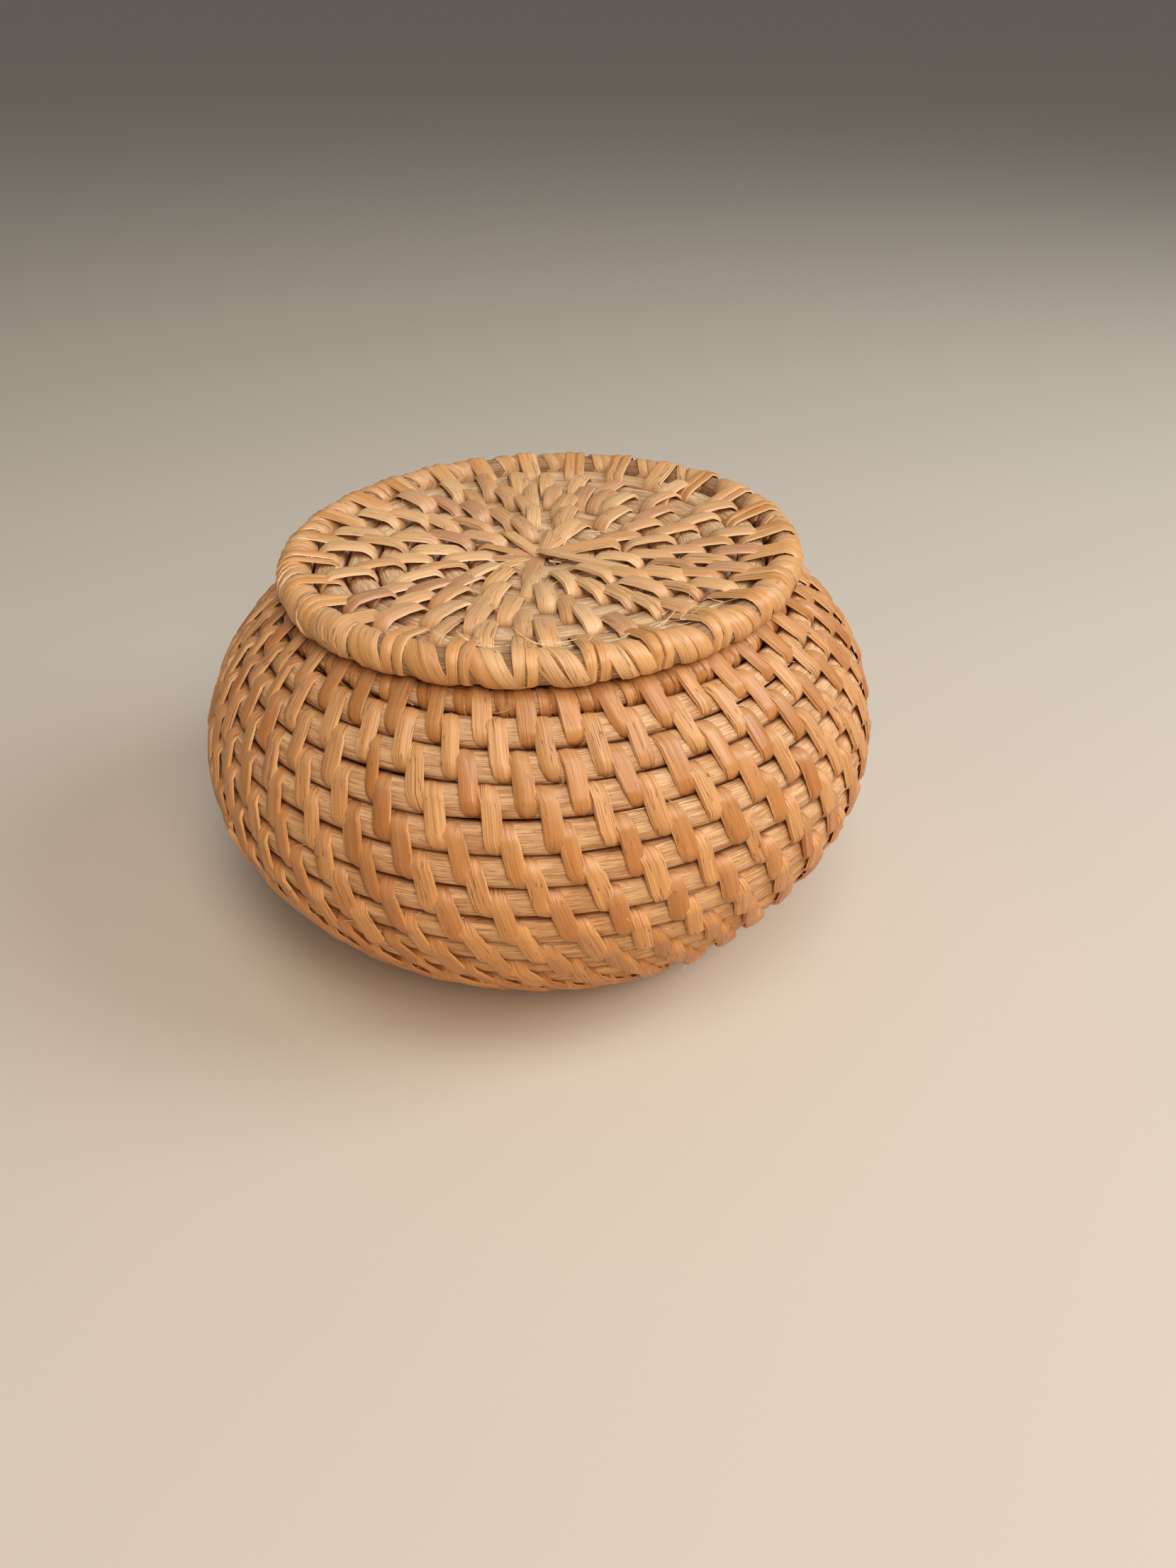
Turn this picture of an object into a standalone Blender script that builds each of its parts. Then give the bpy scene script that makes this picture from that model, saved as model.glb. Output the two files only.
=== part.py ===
"""Lidded rattan basket, coiled from long core rods bound with split cane.

The body is one spiral of round rattan core: it starts at a knot in the middle of the
base, runs out flat to the foot, climbs the round belly row by row and closes in to the
mouth. The rods are as long as rattan comes, so the spiral is spliced end to end. The
lid is a second, slightly dished spiral inside a thicker rim hoop. Both rims are closely
lashed with split cane, and a smaller hoop under the lid drops into the mouth.

The frame has +Z up, with the origin in the middle of the face that the foot stands on.
All lengths are in metres.
"""
import math

import bmesh
import bpy
import numpy as np
from mathutils import Matrix

MM = 0.001

# Driving dimensions of the basket body
BELLY_RADIUS = 100.0 * MM        # widest radius, over the binding cane
BELLY_HEIGHT = 56.0 * MM         # height of the widest row
FOOT_RADIUS = 57.0 * MM          # middle of the coil that the basket stands on
MOUTH_RADIUS = 64.4 * MM         # clear radius inside the mouth
MOUTH_TOP = 106.2 * MM           # height of the top of the lashed mouth rim
SHOULDER_FULLNESS = 2.2          # 2 is an ellipse, more is squarer
FOOT_FULLNESS = 1.7
BASE_RISE = 3.0 * MM             # how far the middle of the base is pushed up

# Rods and cane
CORE_DIAMETER = 6.8 * MM         # round core of the body
LID_CORE_DIAMETER = 6.6 * MM     # round core of the lid
HOOP_DIAMETER = 8.4 * MM         # thicker hoop in the lid's rim
CANE_THICKNESS = 0.8 * MM        # split cane
LASHING_WIDTH = 3.7 * MM         # split cane of the two lashed rims
LASHING_GAP = 0.5 * MM           # bare strip of rod between two turns of a lashing

# Lid
LID_OVERHANG = 0.6 * MM          # middle of the lid's hoop outside that of the mouth rim
LID_PLATE_DROP = 1.4 * MM        # edge of the coiled plate below the middle of the hoop
LID_DISH = 2.6 * MM              # middle of the plate below its edge
LOCATING_HOOP_PLAY = 1.5 * MM    # free play of the locating hoop inside the mouth
KNOT_SHANK_RADIUS = 1.6 * MM     # cane knot in the middle of each spiral
KNOT_CAP_RADIUS = 5.0 * MM
KNOT_CAP_HEIGHT = 1.4 * MM

# How the coils lie
COIL_GAP = 1.3 * MM              # room for the binding cane between two rows
FACE_GAP = 0.3 * MM              # gap between pieces that touch
FOOT_FLAT = 0.5 * MM             # depth of the flat that the foot stands on
STEP_SHARE = 0.25                # share of a turn in which a row steps up to the next
TAIL_SHARE = 0.10                # share of a turn in which the last row tapers off
TAIL_RADIUS = 0.3                # radius of the tapered end, as a share of the rod
SPLICE_LAG = 5                   # bends from the end of a turn to a splice
WALL_RODS = 3                    # rods that are spliced together in the wall

# Fineness of the solids
LOOP_BENDS = 24                  # straight pieces in one turn of a coil
RIM_BENDS = 48                   # straight pieces in one turn of a lashed rim
LASHING_BENDS = 8                # straight pieces in one turn of a lashing
KNOT_DOME_STEPS = 5              # points on the dome of a knot
KNOT_SIDES = 16                  # flat sides round a knot
SECTION_POINTS = 200             # points on each part of a half section
GAP_SAMPLES = 3000               # most points on which a least gap is measured
GAP_SKIP = 3                     # diameters along a tube that count as the same pass
WELD_DISTANCE = 0.001 * MM       # loose corners of a cap closer than this are one
SHARP_ANGLE = math.radians(50.0)  # edges sharper than this are not shaded smooth
STEP_ANGLE = math.radians(60.0)  # direction in which the rows step up, behind the front

# A coil's rod has six sides, two of them level. Its corners and its flats lie at these
# shares of the round rod's radius, as far outside it as inside.
HEXAGON_CORNER = 2.0 / (1.0 + math.cos(math.pi / 6.0))
HEXAGON_FLAT = HEXAGON_CORNER * math.cos(math.pi / 6.0)

CORE_RADIUS = CORE_DIAMETER / 2
LID_CORE_RADIUS = LID_CORE_DIAMETER / 2
HOOP_RADIUS = HOOP_DIAMETER / 2
LASHING_CHORD = math.cos(math.pi / LASHING_BENDS)
COIL_PITCH = CORE_DIAMETER + COIL_GAP
LID_PITCH = LID_CORE_DIAMETER + COIL_GAP

MATERIALS = {
    "core_rattan": ((0.48, 0.33, 0.18, 1.0), 0.72),
    "split_cane": ((0.52, 0.27, 0.09, 1.0), 0.48),
}


def lashing_inner(rod_radius):
    """Distance from a rod's middle to the corners of the inner face of its lashing."""
    return (rod_radius + FACE_GAP) / LASHING_CHORD


def lashing_reach(rod_radius):
    """Distance from a rod's middle to the outer flats of its lashing."""
    return (lashing_inner(rod_radius) + CANE_THICKNESS) * LASHING_CHORD


MOUTH_RING_RADIUS = MOUTH_RADIUS + lashing_reach(CORE_RADIUS)
MOUTH_RING_HEIGHT = MOUTH_TOP - lashing_reach(CORE_RADIUS)
LID_HOOP_RADIUS = MOUTH_RING_RADIUS + LID_OVERHANG
LID_HOOP_HEIGHT = MOUTH_TOP + FACE_GAP + lashing_reach(HOOP_RADIUS)
LID_PLATE_RADIUS = (LID_HOOP_RADIUS - lashing_reach(HOOP_RADIUS) - FACE_GAP
                    - LID_CORE_RADIUS * HEXAGON_CORNER)
LID_PLATE_HEIGHT = LID_HOOP_HEIGHT - LID_PLATE_DROP
FOOT_HEIGHT = CORE_RADIUS * HEXAGON_FLAT - FOOT_FLAT


def start_over():
    """Remove what is in the scene, and make the two collections."""
    for thing in list(bpy.data.objects):
        bpy.data.objects.remove(thing, do_unlink=True)
    made = []
    for name in ("lidded_rattan_basket", "cutters"):
        collection = bpy.data.collections.new(name)
        bpy.context.scene.collection.children.link(collection)
        made.append(collection)
    return made


def make_material(name):
    """Principled material of one kind of rattan."""
    colour, roughness = MATERIALS[name]
    material = bpy.data.materials.new(name)
    material.use_nodes = True
    shader = material.node_tree.nodes["Principled BSDF"]
    shader.inputs["Base Color"].default_value = colour
    shader.inputs["Roughness"].default_value = roughness
    shader.inputs["Metallic"].default_value = 0.0
    material.diffuse_color = colour
    return material


class Meridian:
    """Half section of a coiled form: the line through the middles of its rows."""

    def __init__(self, radii, heights):
        self.radii = np.asarray(radii)
        self.heights = np.asarray(heights)
        steps = np.hypot(np.diff(self.radii), np.diff(self.heights))
        self.arcs = np.concatenate(([0.0], np.cumsum(steps)))
        self.length = self.arcs[-1]

    def at(self, arc):
        """Radius and height at a distance along the section from its outer end."""
        radius = np.interp(arc, self.arcs, self.radii)
        height = np.interp(arc, self.arcs, self.heights)
        return radius, height


def half_ellipse_radius(height, widest, fullness, end_radius, end_height, belly_radius):
    """Radius of a rounded wall between its widest row and one end.

    (radius / belly)^n + (distance from the widest row / reach)^n = 1, with the reach set
    so that the curve passes through the end.
    """
    share = (end_radius / belly_radius) ** fullness
    reach = abs(end_height - widest) / (1.0 - share) ** (1.0 / fullness)
    offset = np.abs(height - widest) / reach
    return belly_radius * (1.0 - offset ** fullness) ** (1.0 / fullness)


def wall_meridian():
    """Section of the wall, from the mouth ring down to the foot coil."""
    belly = BELLY_RADIUS - CANE_THICKNESS - CORE_RADIUS
    upper = np.linspace(MOUTH_RING_HEIGHT, BELLY_HEIGHT, SECTION_POINTS)
    lower = np.linspace(BELLY_HEIGHT, FOOT_HEIGHT, SECTION_POINTS)[1:]
    upper_radii = half_ellipse_radius(
        upper, BELLY_HEIGHT, SHOULDER_FULLNESS, MOUTH_RING_RADIUS, MOUTH_RING_HEIGHT, belly)
    lower_radii = half_ellipse_radius(
        lower, BELLY_HEIGHT, FOOT_FULLNESS, FOOT_RADIUS, FOOT_HEIGHT, belly)
    radii = np.concatenate((upper_radii, lower_radii))
    return Meridian(radii, np.concatenate((upper, lower)))


def disc_meridian(edge_radius, edge_height, inner_radius, rise):
    """Section of a nearly flat spiral, from its edge in to its start.

    Its height leaves the edge level by rise * (1 - (radius / edge)^2).
    """
    radii = np.linspace(edge_radius, inner_radius, SECTION_POINTS)
    return Meridian(radii, edge_height + rise * (1.0 - (radii / edge_radius) ** 2))


def stepped_rows(turns, weight):
    """Rows that a spiral has climbed after so many turns.

    A plain spiral climbs evenly. With weight 1, each row climbs to the next within
    STEP_SHARE of a turn and then runs level, so that the last row ends as a level ring.
    """
    part = np.mod(turns, 1.0)
    step = np.clip(part / STEP_SHARE, 0.0, 1.0)
    climbed = step * step * (3.0 - 2.0 * step)
    return turns + weight * (climbed - part)


def around(radius, turns, height):
    """Points at a radius and height, so many turns on from the step line."""
    angle = STEP_ANGLE + 2.0 * math.pi * turns
    height = np.broadcast_to(height, np.shape(angle))
    return np.stack((radius * np.cos(angle), radius * np.sin(angle), height), axis=1)


def coil_line(path, first, last, bends):
    """Straight pieces that follow a path, which start and end halfway along one.

    Two rods that share an end therefore meet square, face to face.
    """
    turns = (np.arange(round(first * bends), round(last * bends) + 2) - 0.5) / bends
    points = path(turns)
    turns[0], turns[-1] = turns[:2].mean(), turns[-2:].mean()
    points[0], points[-1] = points[:2].mean(axis=0), points[-2:].mean(axis=0)
    return turns, points


def trimmed(points, start, end):
    """Points of a rod that stops half a face gap short of its start, its end or both."""
    points = points.copy()
    if start:
        run = points[1] - points[0]
        points[0] += run * (FACE_GAP / 2 / np.linalg.norm(run))
    if end:
        run = points[-2] - points[-1]
        points[-1] += run * (FACE_GAP / 2 / np.linalg.norm(run))
    return points


def report_least_gap(name, points, reach, skip):
    """Print the least gap between passes of one tube or strip.

    The line is sampled finely, points closer than skip along the line are left out, and
    reach is half a tube's thickness at each point, or everywhere.
    """
    steps = np.linalg.norm(np.diff(points, axis=0), axis=1)
    arcs = np.concatenate(([0.0], np.cumsum(steps)))
    half = np.broadcast_to(reach, arcs.shape)
    count = min(GAP_SAMPLES, int(arcs[-1] / (0.5 * half.max())) + 2)
    fine = np.linspace(0.0, arcs[-1], count)
    line = np.stack([np.interp(fine, arcs, points[:, k]) for k in range(3)], axis=1)
    half = np.interp(fine, arcs, half)
    least = math.inf
    for index in range(count):
        far = fine > fine[index] + skip
        if far.any():
            apart = np.linalg.norm(line[far] - line[index], axis=1)
            least = min(least, (apart - half[far] - half[index]).min())
    print(f"least gap in {name}: {least / MM:.2f} mm")


def add_object(name, mesh, material, collection):
    """Put a mesh in the model under a name, with its material, shaded smooth."""
    mesh.materials.clear()
    mesh.materials.append(material)
    mesh.shade_smooth()
    mesh.set_sharp_from_angle(angle=SHARP_ANGLE)
    made = bpy.data.objects.new(name, mesh)
    collection.objects.link(made)
    return made


def make_rod(name, points, radius, material, collection, lashed=False, radii=None):
    """Round rod along a line of points, made from a bevelled curve.

    A coil's rod has six sides, half outside the round rod. A lashed rod has eight, with
    its corners on the round rod, so that its lashing clears it all round.
    """
    curve = bpy.data.curves.new(name, "CURVE")
    curve.dimensions = "3D"
    curve.twist_mode = "Z_UP"
    curve.bevel_depth = radius if lashed else radius * HEXAGON_CORNER
    curve.bevel_resolution = 2 if lashed else 1
    curve.use_fill_caps = True
    spline = curve.splines.new("POLY")
    spline.points.add(len(points) - 1)
    for index, place in enumerate(points):
        spline.points[index].co = (*place, 1.0)
        if radii is not None:
            spline.points[index].radius = radii[index]
    guide = bpy.data.objects.new(name + "_line", curve)
    collection.objects.link(guide)
    bpy.context.view_layer.update()
    evaluated = guide.evaluated_get(bpy.context.evaluated_depsgraph_get())
    mesh = bpy.data.meshes.new_from_object(evaluated)
    bpy.data.objects.remove(guide, do_unlink=True)
    bpy.data.curves.remove(curve)
    mesh.name = name
    weld(mesh)
    return add_object(name, mesh, material, collection)


def weld(mesh):
    """Merge the loose caps of a tube with its wall."""
    work = bmesh.new()
    work.from_mesh(mesh)
    bmesh.ops.remove_doubles(work, verts=work.verts, dist=WELD_DISTANCE)
    bmesh.ops.recalc_face_normals(work, faces=work.faces)
    work.to_mesh(mesh)
    work.free()


def make_lashing(name, line, rod_radius, material, collection):
    """One unbroken strip of split cane wound closely round a level rod.

    The strip is flat against the rod and crowned outside. It turns round the rod's own
    straight pieces, so it keeps the same gap to them all the way.
    """
    steps = np.linalg.norm(np.diff(line, axis=0), axis=1)
    arcs = np.concatenate(([0.0], np.cumsum(steps)))
    edge = LASHING_WIDTH
    inner = lashing_inner(rod_radius)
    ring_radius = np.hypot(line[:, 0], line[:, 1]).mean()
    inside_length = arcs[-1] * (ring_radius - inner) / ring_radius
    turns = int((inside_length - 2 * edge) / (LASHING_WIDTH + LASHING_GAP))
    count = turns * LASHING_BENDS + 1
    along = np.linspace(edge, arcs[-1] - edge, count)
    middle = np.stack([np.interp(along, arcs, line[:, k]) for k in range(3)], axis=1)
    ahead = np.stack([np.interp(along + edge / 2, arcs, line[:, k]) for k in range(3)], axis=1)
    behind = np.stack([np.interp(along - edge / 2, arcs, line[:, k]) for k in range(3)], axis=1)
    tangent = ahead - behind
    tangent /= np.linalg.norm(tangent, axis=1)[:, None]
    outward = middle * (1.0, 1.0, 0.0)
    outward /= np.linalg.norm(outward, axis=1)[:, None]
    upward = np.array((0.0, 0.0, 1.0))
    phase = 2.0 * math.pi * (np.arange(count) + 0.5) / LASHING_BENDS
    away = outward * np.cos(phase)[:, None] + upward * np.sin(phase)[:, None]
    half = tangent * (LASHING_WIDTH / 2)
    left = middle + away * inner - half
    right = middle + away * inner + half
    crown = middle + away * (inner + CANE_THICKNESS)
    corners = np.stack((left, right, crown), axis=1).reshape(-1, 3)
    work = bmesh.new()
    verts = [work.verts.new(place) for place in corners]
    for index in range(count - 1):
        for side in range(3):
            after = (side + 1) % 3
            here, there = 3 * index, 3 * index + 3
            work.faces.new((verts[here + side], verts[here + after],
                            verts[there + after], verts[there + side]))
    work.faces.new(verts[:3])
    work.faces.new(verts[-3:])
    bmesh.ops.triangulate(work, faces=work.faces)
    bmesh.ops.recalc_face_normals(work, faces=work.faces)
    mesh = bpy.data.meshes.new(name)
    work.to_mesh(mesh)
    work.free()
    edges = middle + away * inner
    report_least_gap(name, edges, LASHING_WIDTH / 2, GAP_SKIP * inner)
    return add_object(name, mesh, material, collection)


def make_knot(name, height, thickness, material, collection):
    """Cane knot in the eye of a spiral: a short shank under a domed cap.

    The profile runs down from the top of the dome and is turned about the middle line.
    """
    cap_foot = height + thickness / 2 + FACE_GAP
    shank_end = height - thickness / 2
    angles = np.linspace(0.0, math.pi / 2, KNOT_DOME_STEPS)
    profile = [(KNOT_CAP_RADIUS * math.sin(angle), cap_foot + KNOT_CAP_HEIGHT * math.cos(angle))
               for angle in angles]
    profile += [(KNOT_SHANK_RADIUS, cap_foot), (KNOT_SHANK_RADIUS, shank_end), (0.0, shank_end)]
    work = bmesh.new()
    verts = [work.verts.new((radius, 0.0, level)) for radius, level in profile]
    for first, second in zip(verts, verts[1:]):
        work.edges.new((first, second))
    mesh = bpy.data.meshes.new(name)
    work.to_mesh(mesh)
    work.free()
    knot = add_object(name, mesh, material, collection)
    screw = knot.modifiers.new("turn", "SCREW")
    screw.axis = "Z"
    screw.angle = 2.0 * math.pi
    screw.steps = KNOT_SIDES
    screw.render_steps = KNOT_SIDES
    screw.use_merge_vertices = True
    screw.merge_threshold = WELD_DISTANCE
    return knot


def cut_foot_flat(rod, cutters):
    """Cut the foot coil level with the face that the basket stands on."""
    bpy.ops.mesh.primitive_cube_add(size=1.0)
    cutter = bpy.context.object
    cutter.name = "foot_flat_cutter"
    side = 4.0 * BELLY_RADIUS
    depth = 4.0 * CORE_RADIUS
    cutter.data.transform(Matrix.Diagonal((side, side, depth, 1.0)))
    cutter.location = (0.0, 0.0, -depth / 2)
    cutter.hide_render = True
    cutter.display_type = "WIRE"
    for collection in list(cutter.users_collection):
        collection.objects.unlink(cutter)
    cutters.objects.link(cutter)
    cut = rod.modifiers.new("foot_flat", "BOOLEAN")
    cut.operation = "DIFFERENCE"
    cut.object = cutter


def build_body(collection, cutters, core, cane):
    """Base, wall and mouth of the basket: one spiral, spliced end to end."""
    wall = wall_meridian()
    wall_rows = int(wall.length / COIL_PITCH)
    wall_pitch = wall.length / wall_rows
    eye = KNOT_SHANK_RADIUS + FACE_GAP + CORE_RADIUS * HEXAGON_CORNER
    base = disc_meridian(FOOT_RADIUS, FOOT_HEIGHT, eye, BASE_RISE)
    base_rows = int(base.length / COIL_PITCH * LOOP_BENDS) / LOOP_BENDS

    def path(turns):
        """Points of the spiral; turn 0 ends the base at the foot coil."""
        weight = np.clip((turns + base_rows) / base_rows, 0.0, 1.0)
        rows = stepped_rows(turns, weight)
        radius_wall, height_wall = wall.at((wall_rows - rows) * wall_pitch)
        radius_base, height_base = base.at(-rows * COIL_PITCH)
        on_base = rows < 0.0
        radius = np.where(on_base, radius_base, radius_wall)
        height = np.where(on_base, height_base, height_wall)
        return around(radius, turns, height)

    base_last = SPLICE_LAG / LOOP_BENDS
    rim_first = wall_rows - 2 + SPLICE_LAG / LOOP_BENDS
    share = (rim_first - base_last) / WALL_RODS
    splices = [base_last]
    for number in range(1, WALL_RODS):
        bend = round((base_last + number * share) * LOOP_BENDS)
        splices.append(bend / LOOP_BENDS)
    splices.append(rim_first)

    points = coil_line(path, -base_rows, base_last, LOOP_BENDS)[1]
    points = trimmed(points, False, True)
    corner = CORE_RADIUS * HEXAGON_CORNER
    report_least_gap("base_core_rod", points, corner, GAP_SKIP * CORE_DIAMETER)
    base_rod = make_rod("base_core_rod", points, CORE_RADIUS, core, collection)
    cut_foot_flat(base_rod, cutters)

    for number in range(WALL_RODS):
        name = f"wall_core_rod_{number + 1}"
        points = coil_line(path, splices[number], splices[number + 1], LOOP_BENDS)[1]
        points = trimmed(points, True, True)
        report_least_gap(name, points, corner, GAP_SKIP * CORE_DIAMETER)
        make_rod(name, points, CORE_RADIUS, core, collection)

    build_mouth(path, wall_rows, rim_first, collection, core, cane)
    make_knot("base_centre_knot", FOOT_HEIGHT + BASE_RISE, CORE_DIAMETER * HEXAGON_FLAT,
              cane, collection)


def build_mouth(path, wall_rows, rim_first, collection, core, cane):
    """Rim rod with its tapered end, and the cane that is lashed round it."""
    def rim_path(turns):
        """Points of the last row, which ends on the row that climbs up below it."""
        points = path(np.minimum(turns, wall_rows))
        tail = turns > wall_rows
        points[tail] = tail_points(path, turns[tail], thinning(turns[tail]))
        return points

    def thinning(turns):
        """Share of the rod's radius that is left along the tapered end."""
        taper = np.clip((turns - wall_rows) / TAIL_SHARE, 0.0, 1.0)
        return 1.0 - (1.0 - TAIL_RADIUS) * taper

    turns, points = coil_line(rim_path, rim_first, wall_rows + TAIL_SHARE, RIM_BENDS)
    points = trimmed(points, True, False)
    radii = thinning(turns)
    report_least_gap("mouth_rim_rod", points, CORE_RADIUS * radii, GAP_SKIP * CORE_DIAMETER)
    make_rod("mouth_rim_rod", points, CORE_RADIUS, core, collection, True, radii)

    level = coil_line(path, wall_rows - 1 + STEP_SHARE, wall_rows, RIM_BENDS)[1]
    make_lashing("mouth_rim_lashing", level, CORE_RADIUS, cane, collection)


def tail_points(path, turns, thinning):
    """Points of the tapered end, one coil gap clear of the row below it."""
    below = path(turns - 1.0)
    rise = below - path(turns - 2.0)
    rise /= np.linalg.norm(rise, axis=1)[:, None]
    reach = CORE_RADIUS * (1.0 + thinning) + COIL_GAP
    return below + rise * reach[:, None]


def hoop_line(radius, height):
    """Straight pieces of a level hoop, whose ends meet face to face."""
    points = coil_line(lambda turns: around(radius, turns, height), 0.0, 1.0, RIM_BENDS)[1]
    return trimmed(points, True, True)


def build_lid(collection, core, cane):
    """Dished coiled plate, thick lashed rim hoop and the hoop that locates the lid."""
    eye = KNOT_SHANK_RADIUS + FACE_GAP + LID_CORE_RADIUS * HEXAGON_CORNER
    plate = disc_meridian(LID_PLATE_RADIUS, LID_PLATE_HEIGHT, eye, -LID_DISH)
    plate_rows = int(plate.length / LID_PITCH * LOOP_BENDS) / LOOP_BENDS

    def path(turns):
        """Points of the plate's spiral; turn 0 ends it at its edge."""
        weight = np.clip((turns + plate_rows) / plate_rows, 0.0, 1.0)
        rows = np.minimum(stepped_rows(turns, weight), 0.0)
        radius, height = plate.at(-rows * LID_PITCH)
        return around(radius, turns, height)

    points = coil_line(path, -plate_rows, 0.0, LOOP_BENDS)[1]
    corner = LID_CORE_RADIUS * HEXAGON_CORNER
    report_least_gap("lid_core_rod", points, corner, GAP_SKIP * LID_CORE_DIAMETER)
    make_rod("lid_core_rod", points, LID_CORE_RADIUS, core, collection)

    hoop = hoop_line(LID_HOOP_RADIUS, LID_HOOP_HEIGHT)
    make_rod("lid_rim_hoop", hoop, HOOP_RADIUS, core, collection, True)
    make_lashing("lid_rim_lashing", hoop, HOOP_RADIUS, cane, collection)

    locating_radius = (MOUTH_RADIUS - LOCATING_HOOP_PLAY - CANE_THICKNESS
                       - LID_CORE_RADIUS * HEXAGON_CORNER)
    locating_height = (LID_PLATE_HEIGHT - 2 * LID_CORE_RADIUS * HEXAGON_FLAT
                       - CANE_THICKNESS)
    locating = hoop_line(locating_radius, locating_height)
    make_rod("lid_locating_hoop", locating, LID_CORE_RADIUS, core, collection)

    make_knot("lid_centre_knot", LID_PLATE_HEIGHT - LID_DISH,
              LID_CORE_DIAMETER * HEXAGON_FLAT, cane, collection)


def main():
    """Build the basket and its lid."""
    collection, cutters = start_over()
    core = make_material("core_rattan")
    cane = make_material("split_cane")
    build_body(collection, cutters, core, cane)
    build_lid(collection, core, cane)


main()
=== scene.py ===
"""Dresses the lidded rattan basket: fibrous core rods, bound and lashed with split cane.

Sizes in this script are in millimetres, and put_grid turns them to metres. A row is the
path of a rod in the section: a function that gives its (radius, height) after so many turns
of its spiral, counted from STEP_ANGLE, where the rows step up.
"""
import math

import bpy
import numpy as np
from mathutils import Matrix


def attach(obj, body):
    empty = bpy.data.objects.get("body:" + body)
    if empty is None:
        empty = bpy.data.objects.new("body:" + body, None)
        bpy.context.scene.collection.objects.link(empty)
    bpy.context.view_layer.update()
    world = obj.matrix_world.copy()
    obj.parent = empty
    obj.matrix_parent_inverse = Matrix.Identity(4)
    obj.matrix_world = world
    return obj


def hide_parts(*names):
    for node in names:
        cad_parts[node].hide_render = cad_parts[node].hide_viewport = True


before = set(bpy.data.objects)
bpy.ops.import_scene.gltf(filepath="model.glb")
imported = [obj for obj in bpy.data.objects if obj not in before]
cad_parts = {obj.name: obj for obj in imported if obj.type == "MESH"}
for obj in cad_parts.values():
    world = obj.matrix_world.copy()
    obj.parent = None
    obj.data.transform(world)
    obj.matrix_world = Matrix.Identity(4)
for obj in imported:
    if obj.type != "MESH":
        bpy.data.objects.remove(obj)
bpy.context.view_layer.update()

MM = 0.001
TURN = 2.0 * math.pi
draw = np.random.default_rng(41)

# Sizes of the basket, the same as those of the solids
BELLY_RADIUS = 100.0
BELLY_HEIGHT = 56.0
FOOT_RADIUS = 57.0            # radius and height of the foot's row
FOOT_HEIGHT = 2.656
MOUTH_RING = (68.84, 101.76)  # radius and height of the mouth rim's row
SHOULDER_FULLNESS = 2.2       # powers of the wall's curve above the belly and below it
FOOT_FULLNESS = 1.7
BASE_RISE = 3.0               # rise of the base from its edge to its middle
ROD = 3.4                     # radius of the body's core rod
LID_ROD = 3.3
HOOP_ROD = 4.2
CANE = 0.8                    # thickness of the split cane
COIL_PITCH = 8.1              # from a row to the next
LID_PITCH = 7.9
LID_HOOP = (69.44, 111.74)    # radius and height of the lid's hoop
LID_PLATE = (60.36, 110.34)   # and of the plate's outermost row
LID_DISH = 2.6                # drop of the plate from its edge to its middle
LOCATING_HOOP = (58.56, 103.41)
STEP_SHARE = 0.25             # share of a turn in which a row steps up to the next
STEP_ANGLE = math.radians(60.0)
BODY_EYE = 5.544              # radius at which the spiral of the base starts
LID_EYE = 5.437               # and that of the lid's plate
LOOP_BENDS = 24               # the solids' bends in a turn, to which rows are counted
WALL_RODS = 3
SPLICE_LAG = 5                # bends from the start of a step to a splice
TAIL_SHARE = 0.10             # share of a turn over which the mouth rim's rod thins out
TAIL_RADIUS = 0.3             # share of its radius that is left at the end
TAIL_ROOM = 1.3               # room for cane between the tail and the row below it

# How the real basket leaves the true round
LEAN = 0.026                  # rise of the rows per millimetre to the right
LEAN_HEIGHT = 30.0            # height over which the lean grows from nothing
FOOT_LIFT = 1.75              # rise of the lowest row, which leaves room for its cane
LIFT_HEIGHT = 30.0
FOOT_SHIFT = 3.0              # foot to the right of the middle of the mouth
LID_SHIFT = 1.0               # lid to the right of the mouth, within its play
ROW_WANDER = 0.3              # most that a row strays from its even line
PLATE_WANDER = 0.5            # and that the plate's rows stray up or down
FREE_ROWS = 1.5               # rows over which the straying grows from nothing


def smooth(value):
    """0 to 1 with level ends: 3 v^2 - 2 v^3 of the value held between 0 and 1."""
    held = np.clip(value, 0.0, 1.0)
    return held * held * (3.0 - 2.0 * held)


def unit(ways):
    """The same ways at length 1."""
    return ways / np.linalg.norm(ways, axis=-1, keepdims=True)


# Rows of the two spirals


def half_section(radii, heights):
    """Length of a half section, and the function that gives a point at an arc along it.

    The arc is the sum of the straight steps from point to point.
    """
    arcs = np.concatenate(([0.0], np.cumsum(np.hypot(np.diff(radii), np.diff(heights)))))

    def at(arc):
        return np.stack((np.interp(arc, arcs, radii), np.interp(arc, arcs, heights)), axis=-1)
    return arcs[-1], at


def bulged(heights, fullness, end):
    """Radius of the wall: (r / belly)^n + (distance from the belly / reach)^n = 1.

    n is the fullness, and the reach takes the curve through the (radius, height) of end.
    """
    belly = BELLY_RADIUS - CANE - ROD
    share = (end[0] / belly) ** fullness
    reach = abs(end[1] - BELLY_HEIGHT) / (1.0 - share) ** (1.0 / fullness)
    offset = np.abs(heights - BELLY_HEIGHT) / reach
    return belly * (1.0 - offset ** fullness) ** (1.0 / fullness)


def disc(edge, inner_radius, rise):
    """Half section of a spiral plate: height = edge + rise (1 - (r / edge radius)^2)."""
    radii = np.linspace(edge[0], inner_radius, 200)
    return half_section(radii, edge[1] + rise * (1.0 - (radii / edge[0]) ** 2))


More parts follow.
